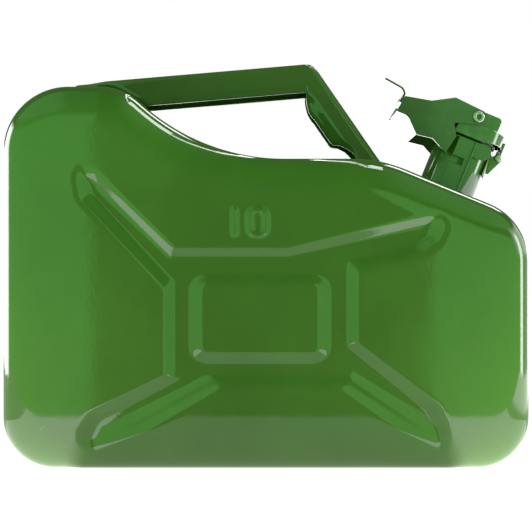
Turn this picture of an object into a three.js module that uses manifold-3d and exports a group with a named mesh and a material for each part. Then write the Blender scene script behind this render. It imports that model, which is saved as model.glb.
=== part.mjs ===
// Ten litre pressed-steel jerry can, millimetres, +Z up.
// Origin: middle of the footprint, on the ground. +X points to the spout end, Y across the can.

import * as THREE from 'three';
import { mergeVertices } from 'three/addons/utils/BufferGeometryUtils.js';
import Module from 'manifold-3d';

const wasm = await Module();
wasm.setup();

// ---------------------------------------------------------------- driving dimensions

const LENGTH = 345;          // overall length of the tank
const DEPTH = 165;           // overall width of the tank
const TOP = 250.3;           // height of the tank behind the handle
const SADDLE = 203;          // height of the tank under the hand
const SHOULDER = 22.3;       // slope of the shoulder and tilt of the neck, degrees
const EDGE_RADIUS = 27;      // rounding between the broad sides and the rim
const WALL = 0.9;            // sheet thickness of the tank
const GAP = 0.3;             // clearance left between pieces that touch

const SEAM_DEPTH = 4;        // depth of the channel that the two halves are welded in
const SEAM_HALF = 6;         // half width of that channel at its floor
const PRESS_DEPTH = 3.4;     // depth of the cross pressed into the broad sides

const HANDLE_HALF = 16;      // half width of the handle channel
const HANDLE_WALL = 1.5;

const MOUTH = [143.8, 0, 221.5];   // centre of the neck's mouth
const NECK_HEIGHT = 43.4;          // from the shoulder to the mouth, along the neck
const NECK_RADIUS = 20.5;
const NECK_WALL = 1.2;
const RIM_BORE = 18.3;             // radius inside the rolled rim

const HINGE = [24, -4];            // cap hinge axis in the neck's frame: back, up
const PIN_RADIUS = 1.5;
const KNUCKLE_RADIUS = 2.9;
const PIVOT = [-1.6, 15.2];        // lever pivot axis in the neck's frame
const PIVOT_RADIUS = 2.7;
const BRACKET_FACE = 20.8;         // inner face of the catch brackets
const SHEET = 1.6;                 // sheet thickness of brackets
const STRAP_HALF = 22.4;           // outer half width of the cap strap
const STRAP_WALL = 1.4;
const STRAP_TOP = 11.1;
const CHEEK_FACE = 23;             // inner face of the lever's cheeks
const LEVER_WALL = 1.4;
const CATCH_HEIGHT = -15.4;        // lower edge of the lugs that the lever hooks under

const radians = THREE.MathUtils.degToRad;

// ---------------------------------------------------------------- solids and outlines

function toSolid(geometry) {
  const bare = geometry.clone();
  bare.deleteAttribute('normal');
  bare.deleteAttribute('uv');
  const merged = mergeVertices(bare, 1e-4);
  return new wasm.Manifold(new wasm.Mesh({
    numProp: 3,
    vertProperties: new Float32Array(merged.attributes.position.array),
    triVerts: new Uint32Array(merged.index.array),
  }));
}

function toGeometry(solid) {
  const mesh = solid.getMesh();
  const geometry = new THREE.BufferGeometry();
  geometry.setAttribute('position', new THREE.BufferAttribute(mesh.vertProperties, 3));
  geometry.setIndex(new THREE.BufferAttribute(mesh.triVerts, 1));
  geometry.computeVertexNormals();
  return geometry;
}

const join = (...solids) => solids.reduce((whole, next) => whole.add(next));
const cut = (whole, ...tools) => tools.reduce((left, tool) => left.subtract(tool), whole);

// A closed outline from corners [x, y, radius], moved inwards by inset; every corner
// becomes an arc, so that convex corners tighten and hollow ones open as it moves in.
function roundedLoop(corners, inset = 0, step = 9) {
  const count = corners.length;
  const at = (i) => new THREE.Vector2(corners[(i + count) % count][0], corners[(i + count) % count][1]);
  const side = (i) => at(i + 1).sub(at(i)).normalize();
  const points = [];
  for (let i = 0; i < count; i += 1) {
    const before = side(i - 1);
    const after = side(i);
    const turn = Math.atan2(before.cross(after), before.dot(after));
    const radius = corners[i][2] - Math.sign(turn) * inset;
    const inward = new THREE.Vector2(-before.y - after.y, before.x + after.x);
    const corner = at(i).addScaledVector(inward, inset / (1 + before.dot(after)));
    const start = corner.clone().addScaledVector(before, -radius * Math.tan(Math.abs(turn) / 2));
    const pieces = Math.max(1, Math.round(Math.abs(turn) / radians(step)));
    const centre = start.clone().add(
      new THREE.Vector2(-before.y, before.x).multiplyScalar(Math.sign(turn) * radius));
    for (let k = 0; k <= pieces; k += 1) {
      points.push(start.clone().rotateAround(centre, (turn * k) / pieces));
    }
  }
  return points;
}

const sharpLoop = (points) => points.map(([x, y]) => new THREE.Vector2(x, y));

// A slab whose outline is drawn in the X-Z plane, from y = low to y = high.
function slab(outline, low, high, bevel = {}) {
  const shape = new THREE.Shape(outline);
  const geometry = new THREE.ExtrudeGeometry(shape, { depth: high - low, bevelEnabled: false, ...bevel });
  geometry.translate(0, 0, -high);
  geometry.rotateX(Math.PI / 2);
  return toSolid(geometry);
}

// The same slab on both sides of the middle plane.
const bothSides = (outline, low, high) => [slab(outline, low, high), slab(outline, -high, -low)];

// A prism whose outline is drawn in the X-Y plane, from z = low to z = high.
function column(outline, low, high) {
  const geometry = new THREE.ExtrudeGeometry(new THREE.Shape(outline), { depth: high - low, bevelEnabled: false });
  geometry.translate(0, 0, low);
  return toSolid(geometry);
}

function disc(x, y, radius, pieces = 24) {
  return Array.from({ length: pieces }, (_, i) => {
    const angle = (2 * Math.PI * i) / pieces;
    return new THREE.Vector2(x + radius * Math.cos(angle), y + radius * Math.sin(angle));
  });
}

// A turned piece: [radius, height] points of its section, about the Z axis.
function turned(section, pieces = 32) {
  const geometry = new THREE.LatheGeometry(sharpLoop([...section, section[0]]), pieces);
  geometry.rotateX(Math.PI / 2);
  const solid = toSolid(geometry);
  return solid.volume() > 0 ? solid : toSolid(flipped(geometry));
}

function flipped(geometry) {
  const index = geometry.index.array;
  for (let i = 0; i < index.length; i += 3) {
    [index[i], index[i + 1]] = [index[i + 1], index[i]];
  }
  return geometry;
}

// A ring section between two radii and two heights.
const ring = (inner, outer, low, high) => [[inner, low], [outer, low], [outer, high], [inner, high]];

// ---------------------------------------------------------------- materials

const paint = (shade) => new THREE.MeshStandardMaterial({ color: shade, roughness: 0.18, metalness: 0.0 });
const GREEN = paint(0x2f5f1f);
const DARK_GREEN = paint(0x274d1b);
const BRIGHT_GREEN = paint(0x3b6f2c);
const ZINC = new THREE.MeshStandardMaterial({ color: 0xb8b4a8, roughness: 0.35, metalness: 1.0 });
const RUBBER = new THREE.MeshStandardMaterial({ color: 0x1c1c1c, roughness: 0.8, metalness: 0.0 });

function piece(name, solid, material) {
  const mesh = new THREE.Mesh(toGeometry(solid), material);
  mesh.name = name;
  return mesh;
}

// ---------------------------------------------------------------- the tank

const HALF = LENGTH / 2;
const slope = Math.tan(radians(SHOULDER));
const shoulderAt = (x) => 173.5 + (146.4 - x) * slope;
const BACK_SLOPE = 41;                                    // fall from the top to the saddle
const backFoot = -40.3;                                   // where that fall meets the saddle line

const TANK_CORNERS = [
  [-HALF, 0, 34],
  [HALF, 0, 34],
  [HALF, shoulderAt(HALF), 42],
  [146.4 - (SADDLE - 173.5) / slope, SADDLE, 90],
  [backFoot, SADDLE, 140],
  [backFoot - (TOP - SADDLE) / Math.tan(radians(BACK_SLOPE)), TOP, 40],
  [-HALF, TOP, 43],
];

// The full tank shape, every surface moved inwards by inset.
function tankSolid(inset) {
  const round = EDGE_RADIUS - inset;
  return slab(roundedLoop(TANK_CORNERS, EDGE_RADIUS), EDGE_RADIUS - DEPTH / 2, DEPTH / 2 - EDGE_RADIUS, {
    bevelEnabled: true, bevelThickness: round, bevelSize: round, bevelSegments: 5,
  });
}

// The channel all round the middle plane, left out around the neck.
function seamChannel(inset) {
  const floor = SEAM_DEPTH + inset;
  const half = SEAM_HALF + inset;
  const around = slab(roundedLoop(TANK_CORNERS, -2), -half, half);
  const core = slab(roundedLoop(TANK_CORNERS, floor), -half - 1, half + 1);
  return cut(around, core, neckSpace(30 - inset, -60, 10));
}

// A cylinder on the neck's axis, in the frame of the whole can.
function neckSpace(radius, low, high) {
  return column(disc(0, 0, radius, 40), low, high).rotate([0, SHOULDER, 0]).translate(MOUTH);
}

// The cross that stiffens a broad side: four arms around a raised middle pad.
const CROSS = sharpLoop([
  [-122, 190], [-115, 198], [-70, 146.5], [-60, 141.5], [18, 141.5], [104, 162], [111, 156],
  [107, 148], [60, 127.5], [60, 83], [113, 36], [116, 28], [109, 13], [103, 13], [57, 54],
  [-36, 54], [-106, 13], [-114, 13], [-119, 22], [-117, 27], [-57, 58.5], [-66, 83], [-66, 128],
  [-73, 134], [-104, 163],
]);
const PAD_CORNERS = [[-49, 70, 9], [41.5, 70, 9], [41.5, 128, 9], [-49, 128, 9]];

function pressing(depthBelow, grow) {
  const shape = new THREE.Shape(CROSS);
  shape.holes.push(new THREE.Path(roundedLoop(PAD_CORNERS, 0, 30)));
  const geometry = new THREE.ExtrudeGeometry(shape, {
    depth: 20, bevelEnabled: true, bevelSegments: 1, bevelThickness: PRESS_DEPTH,
    bevelSize: PRESS_DEPTH, bevelOffset: grow - PRESS_DEPTH,
  });
  geometry.rotateX(Math.PI / 2);
  return toSolid(geometry).translate([0, -(DEPTH / 2 - depthBelow - PRESS_DEPTH), 0]);
}

function tankWalls() {
  const faces = (depthBelow, grow) => {
    const near = pressing(depthBelow, grow);
    return [near, near.mirror([0, 1, 0])];
  };
  const outside = cut(tankSolid(0), seamChannel(0), ...faces(PRESS_DEPTH, 0));
  const inside = cut(tankSolid(WALL), seamChannel(WALL), ...faces(PRESS_DEPTH + WALL, WALL / 2));
  return cut(outside, inside, neckSpace(NECK_RADIUS + GAP, -60, 10));
}

function tankHalves() {
  const walls = tankWalls();
  const big = LENGTH;
  const block = [[-big, -big], [big, -big], [big, big], [-big, big]];
  const nearHalf = slab(sharpLoop(block), -DEPTH, -GAP / 2);
  const farHalf = slab(sharpLoop(block), GAP / 2, DEPTH);
  return [
    piece('shell_front', walls.intersect(nearHalf), GREEN),
    piece('shell_rear', walls.intersect(farHalf), GREEN),
  ];
}

// The weld that joins the halves, lying on the channel's floor.
function seamWeld() {
  const half = 2.4;
  const outer = slab(roundedLoop(TANK_CORNERS, SEAM_DEPTH - GAP - 1), -half, half);
  const inner = slab(roundedLoop(TANK_CORNERS, SEAM_DEPTH - GAP), -half - 1, half + 1);
  return piece('seam_weld', cut(outer, inner, neckSpace(30, -60, 10)), DARK_GREEN);
}

// ---------------------------------------------------------------- the handle

// The side view of the channel: a bar over the saddle and a leg down to the shoulder.
const HANDLE_CORNERS = [
  [88, 196, 0.1], [32.9, 275.6, 9], [-146, 260.4, 12], [-146, 240, 0.1],
  [-95, 240, 0.1], [-95, 246, 0.1], [28.6, 254.8, 3], [74.8, 196, 0.1],
];
const HANDLE_HOLLOW = [[86.1, 196, 0.1], [32.2, 274, 7.5], [-144.5, 258.9, 10.5], [-144.5, 230, 0.1]];

function handle() {
  const bar = slab(roundedLoop(HANDLE_CORNERS), -HANDLE_HALF, HANDLE_HALF);
  const inner = HANDLE_HALF - HANDLE_WALL;
  const hollow = slab(roundedLoop(HANDLE_HOLLOW), -inner, inner);
  return piece('handle', cut(bar, hollow, tankSolid(-GAP)), GREEN);
}

// ---------------------------------------------------------------- the neck
// Everything from here on is drawn in the neck's frame: X back, Y across, Z up the neck,
// with its origin in the middle of the mouth.

function neckTube() {
  const inner = NECK_RADIUS - NECK_WALL;
  const foot = -NECK_HEIGHT - 4;
  return piece('neck_tube', turned([
    [inner, foot], [NECK_RADIUS, foot], [NECK_RADIUS, -1], [NECK_RADIUS - 0.6, -0.2],
    [NECK_RADIUS - 1.2, 0], [RIM_BORE + 0.6, 0], [RIM_BORE, -0.6], [RIM_BORE, -1.8], [inner, -2.6],
  ], 40), GREEN);
}

function neckFlange() {
  const low = -NECK_HEIGHT + GAP;
  return piece('neck_flange', turned([
    [NECK_RADIUS + GAP, low], [NECK_RADIUS + 3.4, low], [NECK_RADIUS + 3.2, low + 0.9],
    [NECK_RADIUS + 1.6, low + 1.5], [NECK_RADIUS + 0.8, low + 3], [NECK_RADIUS + GAP, low + 3],
  ], 40), GREEN);
}

// A catch bracket: a strip up the neck with a notch that the lever hooks into, a rounded
// ear for a pouring spout behind it, and a rib along the strip's back edge.
function catchBracket(name, side) {
  const ear = [10.8, -6];
  const earRadius = 5.7;
  const foot = -NECK_HEIGHT + 4.2;
  const strip = sharpLoop([
    [-9.5, foot], [4.6, foot], [4.6, -1.2], [-8.5, -1.2], [-8.5, CATCH_HEIGHT], [0.2, CATCH_HEIGHT],
    [0.2, CATCH_HEIGHT - 5.1], [-9.2, CATCH_HEIGHT - 5.1],
  ]);
  const neckOfEar = sharpLoop([[3, -12.5], [ear[0], -11.7], [ear[0], -0.3], [3, -1.2]]);
  const rib = sharpLoop([[3.4, foot], [4.6, foot], [4.6, -1.2], [3.4, -1.2]]);
  const face = BRACKET_FACE + SHEET;
  const near = join(
    slab(strip, -face, -BRACKET_FACE),
    slab(neckOfEar, -face, -BRACKET_FACE),
    slab(disc(...ear, earRadius), -face, -BRACKET_FACE),
    slab(rib, -face - 1, -BRACKET_FACE),
  );
  return piece(name, side < 0 ? near : near.mirror([0, 1, 0]), BRIGHT_GREEN);
}

// The fixed half of the cap hinge: a saddle welded to the back of the neck, with two ears.
function hingeLug() {
  const [back, up] = HINGE;
  const saddle = cut(
    column(disc(0, 0, NECK_RADIUS + GAP + SHEET, 48), -20, -8),
    column(sharpLoop([[-30, -30], [17, -30], [17, 30], [-30, 30]]), -21, -7),
  );
  const ear = sharpLoop([[14, -19], [21.5, -17], [back + 2.6, up - 1.4], [back, up + 2.9],
    [back - 2.6, up + 1.2], [14, -9]]);
  const eye = disc(back, up, KNUCKLE_RADIUS, 20);
  const hole = slab(disc(back, up, PIN_RADIUS + 0.1, 20), -20, 20);
  const neckShape = column(disc(0, 0, NECK_RADIUS + GAP, 48), -40, 5);
  const ears = [...bothSides(ear, 8, 9.6), ...bothSides(eye, 8, 9.6)];
  return piece('hinge_lug', cut(join(saddle, ...ears), hole, neckShape), GREEN);
}

// A round pin across the neck's frame, with a head at each end.
function crossPin(name, [back, up], radius, bore, head, length, material) {
  const half = length / 2;
  const section = [
    [bore, -half], [head - 0.4, -half], [head, -half + 0.4], [head, -half + 1], [radius, -half + 1.2],
    [radius, half - 1.2], [head, half - 1], [head, half - 0.4], [head - 0.4, half], [bore, half],
  ];
  const pin = turned(section, 20).rotate([90, 0, 0]).translate([back, 0, up]);
  return piece(name, pin, material);
}

// The vent pipe that lets air behind the fuel while it pours, from the mouth to the top
// of the tank; its points are in the frame of the whole can.
const VENT_ROUTE = [
  [127, 214], [114.4, 182], [103, 175], [60, 187], [0, 190], [-36, 193], [-60, 207], [-84, 226],
];

function ventPipe() {
  const section = new THREE.Shape().absarc(0, 0, 3.5, 0, 2 * Math.PI);
  section.holes.push(new THREE.Path().absarc(0, 0, 2.6, 0, 2 * Math.PI, true));
  const route = new THREE.CatmullRomCurve3(VENT_ROUTE.map(([x, z]) => new THREE.Vector3(x, 0, z)));
  const pipe = new THREE.ExtrudeGeometry(section, { curveSegments: 5, steps: 26, extrudePath: route });
  const solid = toSolid(pipe);
  return piece('vent_pipe', solid.volume() > 0 ? solid : toSolid(flipped(pipe)), ZINC);
}

// ---------------------------------------------------------------- the cap

// The strap: a folded cover, open to the front, whose round back carries the knuckles.
function capStrap() {
  const roundBack = (half, front) => {
    const centre = STRAP_HALF - 19.4;
    const arc = Array.from({ length: 17 }, (_, i) => {
      const angle = -Math.PI / 2 + (Math.PI * i) / 16;
      return [centre + half * Math.cos(angle), half * Math.sin(angle)];
    });
    return sharpLoop([[front, -half], ...arc, [front, half]]);
  };
  const cover = cut(
    column(roundBack(STRAP_HALF, -13.6), 0, STRAP_TOP),
    column(roundBack(STRAP_HALF - STRAP_WALL, -20), -1, STRAP_TOP - STRAP_WALL),
  );
  const sideView = slab(roundedLoop([
    [-13.4, 0.5, 0.4], [9, 0.5, 6], [19, 3.6, 8], [27, 3.6, 0.3], [27, STRAP_TOP, 0.3],
    [-12, STRAP_TOP, 1.5],
  ]), -30, 30);
  const [back, up] = HINGE;
  const leg = roundedLoop([[24, 8, 0.2], [24, up, 0.2], [25.4, up, 0.2], [25.4, 8, 0.2]]);
  const legs = [...bothSides(leg, 3.4, 7.6), ...bothSides(disc(back, up, KNUCKLE_RADIUS, 20), 3.4, 7.6)];
  const hole = slab(disc(back, up, PIN_RADIUS + 0.25, 20), -20, 20);
  const rivetHole = column(disc(0, 0, 2.5, 20), 0, 20);
  return piece('cap_strap', cut(join(cover.intersect(sideView), ...legs), hole, rivetHole), GREEN);
}

function leverSaddle() {
  const outline = roundedLoop([
    [-10, STRAP_TOP + GAP, 0.2], [15, STRAP_TOP + GAP, 0.2], [15, 20.6, 2.6], [-4, 20.6, 4],
  ]);
  const body = slab(outline, -BRACKET_FACE, BRACKET_FACE);
  const below = column(sharpLoop([[-30, -19.2], [30, -19.2], [30, 19.2], [-30, 19.2]]), 5, 19.2);
  const hole = slab(disc(...PIVOT, PIVOT_RADIUS + GAP, 20), -30, 30);
  return piece('lever_saddle', cut(body, below, hole), DARK_GREEN);
}

const capPlate = () => piece('cap_plate', turned([
  [2.5, 6.4], [8, 6.2], [12, 3.4], [14, 1.9], [20.6, 1.9], [20.6, 2.9], [14.6, 2.9], [12.6, 4.4],
  [8.4, 7.3], [2.5, 7.5],
], 36), GREEN);
const gasket = () => piece('gasket', turned([
  [9, 0.9], [16.4, 0.9], [16.8, GAP], [20.2, GAP], [20.6, 0.8], [20.4, 1.6], [9, 1.6],
], 36), RUBBER);
const gasketRetainer = () => piece('gasket_retainer', turned([
  [2.5, -0.6], [11, -0.6], [12.2, -1.2], [15.8, -1.2], [16, -0.2], [12.6, 0.5], [2.5, 0.5],
]), ZINC);
const springWasher = () => piece('spring_washer', turned([
  [3, 8.6], [3.4, 8.6], [9, 7.7], [9.4, 8.3], [3.6, 9.4], [3, 9.4],
], 24), ZINC);
const capRivet = () => piece('cap_rivet', turned([
  [0, -2.6], [4.2, -2.6], [4.8, -2], [4.8, -0.9], [2.2, -0.9], [2.2, STRAP_TOP + GAP],
  [4.4, STRAP_TOP + GAP], [4.1, STRAP_TOP + 0.8], [0, STRAP_TOP + 1],
], 20), ZINC);

function pivotSpacer(name, side) {
  const tube = turned(ring(PIVOT_RADIUS + 0.25, 3.9, 21.1, CHEEK_FACE - GAP), 20);
  return piece(name, tube.rotate([side * 90, 0, 0]).translate([PIVOT[0], 0, PIVOT[1]]), ZINC);
}

// ---------------------------------------------------------------- the lever

const CHEEK = [
  [-54.5, 9.4], [-36.2, 13.4], [-21.5, 21.8], [0.6, 20.3], [4.2, 17.1], [2.1, 10.8], [-15.9, 5.4],
  [-10.9, -3], [-13.6, -16], [-17.2, -14.9], [-25.6, -10.7], [-37.3, -12.4], [-47.6, -2.6], [-56.2, -2.6],
];

// A strip of sheet that follows a bent line seen from the side.
function bentStrip(line, thickness, low, high) {
  const points = sharpLoop(line);
  const offset = points.map((point, i) => {
    const before = points[Math.max(i - 1, 0)];
    const after = points[Math.min(i + 1, points.length - 1)];
    const along = after.clone().sub(before).normalize();
    return point.clone().add(new THREE.Vector2(-along.y, along.x).multiplyScalar(thickness));
  });
  return slab([...points, ...offset.reverse()], low, high);
}

// The hook at the foot of a cheek, an arc about the pivot that turns in under the lug.
function hook() {
  const [x, z] = PIVOT;
  const angles = [248.5, 247, 245.5, 244, 242.5, 241];
  const on = (radius, angle) => [x + radius * Math.cos(radians(angle)), z + radius * Math.sin(radians(angle))];
  return sharpLoop([
    ...angles.map((angle) => on(31.7, angle)),
    ...angles.reverse().map((angle) => on(33.3, angle)),
  ]);
}

function lever() {
  const outer = CHEEK_FACE + LEVER_WALL;
  const cheeks = bothSides(sharpLoop(CHEEK), CHEEK_FACE, outer);
  const hooks = bothSides(hook(), BRACKET_FACE + 0.6, CHEEK_FACE + 0.2);
  const front = bentStrip([
    [-37.3, -12.4], [-47.6, -2.6], [-56.2, -2.6], [-54.5, 9.4],
  ], -LEVER_WALL, -CHEEK_FACE - 0.2, CHEEK_FACE + 0.2);
  const tab = bentStrip([
    [-55, 6], [-54.3, 9.8], [-54.1, 13], [-57.2, 16.4], [-71.4, 18.2],
  ], LEVER_WALL, -14, 14);
  const hole = slab(disc(...PIVOT, PIVOT_RADIUS + GAP, 20), -30, 30);
  return piece('lever', cut(join(...cheeks, ...hooks, front, tab), hole), BRIGHT_GREEN);
}

// ---------------------------------------------------------------- assembly

const can = new THREE.Group();
can.add(...tankHalves(), seamWeld(), handle(), ventPipe());

const neck = new THREE.Group();
neck.position.set(...MOUTH);
neck.rotation.y = radians(SHOULDER);
neck.add(
  neckTube(),
  neckFlange(),
  catchBracket('catch_bracket_front', -1),
  catchBracket('catch_bracket_rear', 1),
  hingeLug(),
  crossPin('hinge_pin', HINGE, PIN_RADIUS, 0, PIN_RADIUS + 1, 22.6, ZINC),
  capStrap(),
  leverSaddle(),
  capPlate(),
  gasket(),
  gasketRetainer(),
  springWasher(),
  capRivet(),
  crossPin('lever_pivot', PIVOT, PIVOT_RADIUS, 1.9, 3.9, 51.8, ZINC),
  pivotSpacer('pivot_spacer_front', 1),
  pivotSpacer('pivot_spacer_rear', -1),
  lever(),
);
can.add(neck);

export default can;
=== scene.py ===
import math

import bmesh
import bpy
import numpy as np
from mathutils import Matrix, Vector
from mathutils.geometry import delaunay_2d_cdt


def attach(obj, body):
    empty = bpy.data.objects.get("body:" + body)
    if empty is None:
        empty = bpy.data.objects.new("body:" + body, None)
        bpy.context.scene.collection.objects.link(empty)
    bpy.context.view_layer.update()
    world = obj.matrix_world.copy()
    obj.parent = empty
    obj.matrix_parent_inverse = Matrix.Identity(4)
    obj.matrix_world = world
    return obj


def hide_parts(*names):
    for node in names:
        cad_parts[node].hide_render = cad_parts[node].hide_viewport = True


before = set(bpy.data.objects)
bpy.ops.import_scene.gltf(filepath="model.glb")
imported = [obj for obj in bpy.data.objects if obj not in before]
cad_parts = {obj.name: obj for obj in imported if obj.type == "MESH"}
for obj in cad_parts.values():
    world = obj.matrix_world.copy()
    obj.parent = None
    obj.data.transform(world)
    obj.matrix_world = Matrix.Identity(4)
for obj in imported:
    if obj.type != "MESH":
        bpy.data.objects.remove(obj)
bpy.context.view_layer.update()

MM = 0.001

# ---------------------------------------------------------------- driving dimensions, mm
HALF_LENGTH = 172.5
HALF_DEPTH = 82.5
TOP = 250.3                     # height of the hump
SADDLE = 203.0                  # height of the low stretch under the handle
SHOULDER = math.radians(22.3)   # slope of the side that carries the neck
SHOULDER_SPOT = (146.4, 173.5)  # a point (x, z) on that side
BACK_SLOPE = math.radians(41)   # slope from the low stretch up to the hump
BACK_FOOT = -40.3               # x where that slope starts
EDGE_RADIUS = 27.0              # how far the rounding reaches over the broad side
EDGE_DEPTH = 15.0               # and how far it reaches down the narrow side
WALL = 0.9                      # thickness of the tank's sheet
MOUTH = (143.8, 221.5)          # middle of the neck's mouth, (x, z)
NECK_HEIGHT = 43.4              # from the shoulder up to the mouth
NECK_RADIUS = 20.5
HINGE = (24.0, -4.0)            # hinge pin and lever pivot, (u, v) in the neck's frame
PIVOT = (-1.6, 15.2)

# Corners of the tank's outline, anticlockwise: x, z, radius.
TANK_CORNERS = [
    (-HALF_LENGTH, 0, 34),
    (HALF_LENGTH, 0, 34),
    (HALF_LENGTH, SHOULDER_SPOT[1] + (SHOULDER_SPOT[0] - HALF_LENGTH) * math.tan(SHOULDER), 42),
    (SHOULDER_SPOT[0] - (SADDLE - SHOULDER_SPOT[1]) / math.tan(SHOULDER), SADDLE, 90),
    (BACK_FOOT, SADDLE, 140),
    (BACK_FOOT - (TOP - SADDLE) / math.tan(BACK_SLOPE), TOP, 40),
    (-HALF_LENGTH, TOP, 43),
]


# ---------------------------------------------------------------- outlines and meshes
def rounded_loop(corners, inset=0.0, arc_step=3.0, line_step=4.0):
    """Points of an anticlockwise outline with round corners, moved inwards by inset, at
    steps of arc_step degrees and about line_step millimetres. The number of points doesn't
    depend on inset, so that loops can be bridged."""
    count = len(corners)
    at = [np.array(c[:2], float) for c in corners]
    sides = [at[(i + 1) % count] - at[i] for i in range(count)]
    lengths = [np.linalg.norm(side) for side in sides]
    ways = [side / length for side, length in zip(sides, lengths)]
    turns = [math.atan2(ways[i - 1][0] * ways[i][1] - ways[i - 1][1] * ways[i][0], ways[i - 1] @ ways[i])
             for i in range(count)]
    points = []
    for i, turn in enumerate(turns):
        before, after = ways[i - 1], ways[i]
        side = math.copysign(1, turn)
        radius = corners[i][2] - side * inset
        inward = np.array([-before[1] - after[1], before[0] + after[0]])
        corner = at[i] + inward * inset / (1 + before @ after)
        start = corner - before * radius * math.tan(abs(turn) / 2)
        centre = start + np.array([-before[1], before[0]]) * side * radius
        spoke = start - centre
        pieces = max(1, round(abs(math.degrees(turn)) / arc_step))
        for k in range(pieces + 1):
            a = turn * k / pieces
            points.append(centre + np.array([
                spoke[0] * math.cos(a) - spoke[1] * math.sin(a),
                spoke[0] * math.sin(a) + spoke[1] * math.cos(a)]))
        j = (i + 1) % count
        straight = lengths[i] - corners[i][2] * math.tan(abs(turn) / 2)
        straight -= corners[j][2] * math.tan(abs(turns[j]) / 2)
        points.append(("line", max(1, round(straight / line_step))))
    return fill_lines(points)


def fill_lines(points):
    """Replaces each ("line", n) mark by the points that divide the line there in n."""
    out = []
    for i, item in enumerate(points):
        if not isinstance(item, tuple):
            out.append(item)
            continue
        start = points[i - 1]
        end = points[(i + 1) % len(points)]
        out += [start + (end - start) * k / item[1] for k in range(1, item[1])]
    return np.array(out)


def mesh_object(name, verts, faces, smooth=True):
    """A new object from points in millimetres."""
    mesh = bpy.data.meshes.new(name)
    mesh.from_pydata([tuple(float(c) * MM for c in v) for v in verts], [], faces)
    mesh.validate()
    obj = bpy.data.objects.new(name, mesh)
    bpy.context.scene.collection.objects.link(obj)
    if smooth:
        mesh.polygons.foreach_set("use_smooth", [True] * len(mesh.polygons))
    return obj


def clean(obj, merge=0.01):
    """Joins points closer than merge millimetres and turns every face outwards."""
    bm = bmesh.new()
    bm.from_mesh(obj.data)
    bmesh.ops.remove_doubles(bm, verts=bm.verts, dist=merge * MM)
    bmesh.ops.recalc_face_normals(bm, faces=bm.faces)
    bm.to_mesh(obj.data)
    bm.free()
    return obj


def place(obj, body, slot, material, *nodes):
    """Rides obj on a body, in place of CAD nodes, with a material. The slot argument is not used."""
    obj.data.materials.clear()
    obj.data.materials.append(material)
    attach(obj, body)
    if nodes:
        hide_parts(*nodes)
    return obj


# ---------------------------------------------------------------- the tank's broad sides
# Widths of the pressing's walls, and the share of a wall that is rounded at each end.
CRISP, SIDE, PLAIN, SOFT, WIDE, INNER = 5.6, 7.5, 11.0, 12.5, 17.0, 0.5
ROUNDED_SHARE = {CRISP: 0.14, SIDE: 0.3, PLAIN: 0.16}
OTHER_ROUNDED_SHARE = 0.48
# Each convex patch of the pressed cross, anticlockwise: a corner (x, z), then the width of
# the wall that runs from it to the next corner.
CROSS = [
    [(-66.3, 52, SOFT), (59.7, 52, SIDE), (59.7, 144.2, CRISP), (-66.3, 144.2, SIDE)],
    [(-40, 87.7, INNER), (-40, 124.6, CRISP), (-114, 197, 13), (-121.5, 197.5, 13), (-125, 190, 13),
     (-122.5, 176.5, PLAIN)],
    [(14, 113.9, SOFT), (104.4, 138.2, 15), (114, 146, 15), (118.5, 156, 15), (118.5, 163, 15),
     (114.5, 167.5, CRISP), (14, 144.2, INNER)],
    [(20, 70, WIDE), (107.7, 11.5, 9), (113.5, 9.5, 9), (118.4, 17, 9), (118.4, 30, 9),
     (113.5, 40.4, CRISP), (20, 113, INNER)],
    [(-122, 18, 9), (-113.5, 9.8, 9), (-104.6, 9.5, WIDE), (0, 66.7, INNER), (0, 94.3, CRISP),
     (-116.1, 36.2, 9), (-122, 28, 9)],
]
PRESS_DEPTH = 3.3
PAD_CENTRE, PAD_HALF, PAD_RADIUS, PAD_WALL = (-3.9, 98.5), (45.5, 29.2), 11.5, 7.6
PAD_RISE = 0.6              # share of the pressing's depth that the pad stands up again
GRID = 1.25                 # spacing of the points on the broad side
PRESS_BLUR, NUMBER_BLUR = 0.75, 0.4     # in grid steps
NUMBER_CENTRE, NUMBER_LINE = -12.4, 160.8
NUMBER_RISE, NUMBER_LEAN = 1.15, 0.03
STROKE_HALF, STROKE_TOP = 1.35, 1.6     # half a stroke's width, and where its flat top ends
ONE_AT, ONE_HALF = -20.2, 7.6
NOUGHT_AT, NOUGHT_HALF, NOUGHT_RADIUS = -5.4, (0.6, 3.6), 4.6


def ramp(t, soft=0.14):
    """A straight slope from 0 to 1 whose two ends are rounded over a share soft."""
    t = np.clip(t, 0, 1)
    low = t * t / (2 * soft * (1 - soft))
    high = 1 - (1 - t) ** 2 / (2 * soft * (1 - soft))
    mid = (t - soft / 2) / (1 - soft)
    return np.where(t < soft, low, np.where(t > 1 - soft, high, mid))


def patch_depth(patch, x, z):
    """How deep a patch is pressed at (x, z), as a share of its full depth."""
    depth = np.full(x.shape, 1.0)
    for i, (ax, az, wall) in enumerate(patch):
        bx, bz, _ = patch[(i + 1) % len(patch)]
        length = math.hypot(bx - ax, bz - az)
        inside = ((bx - ax) * (z - az) - (bz - az) * (x - ax)) / length
        soft = ROUNDED_SHARE.get(wall, OTHER_ROUNDED_SHARE)
        depth = np.minimum(depth, ramp(inside / wall, soft))
    return depth


def digit_height(x, z):
    """A plain raised 10, the capacity in litres, as a share of its full height."""
    def stroke(distance):
        return np.clip(STROKE_TOP - distance / STROKE_HALF, 0, 1)
    lean = (z - NUMBER_LINE) * NUMBER_LEAN
    off_line = np.abs(z - NUMBER_LINE)
    one = np.hypot(x - ONE_AT + lean, np.clip(off_line - ONE_HALF, 0, None))
    ring_u = np.clip(np.abs(x - NOUGHT_AT + lean) - NOUGHT_HALF[0], 0, None)
    ring_v = np.clip(off_line - NOUGHT_HALF[1], 0, None)
    nought = np.abs(np.hypot(ring_u, ring_v) - NOUGHT_RADIUS)
    return np.maximum(stroke(one), stroke(nought))


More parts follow.
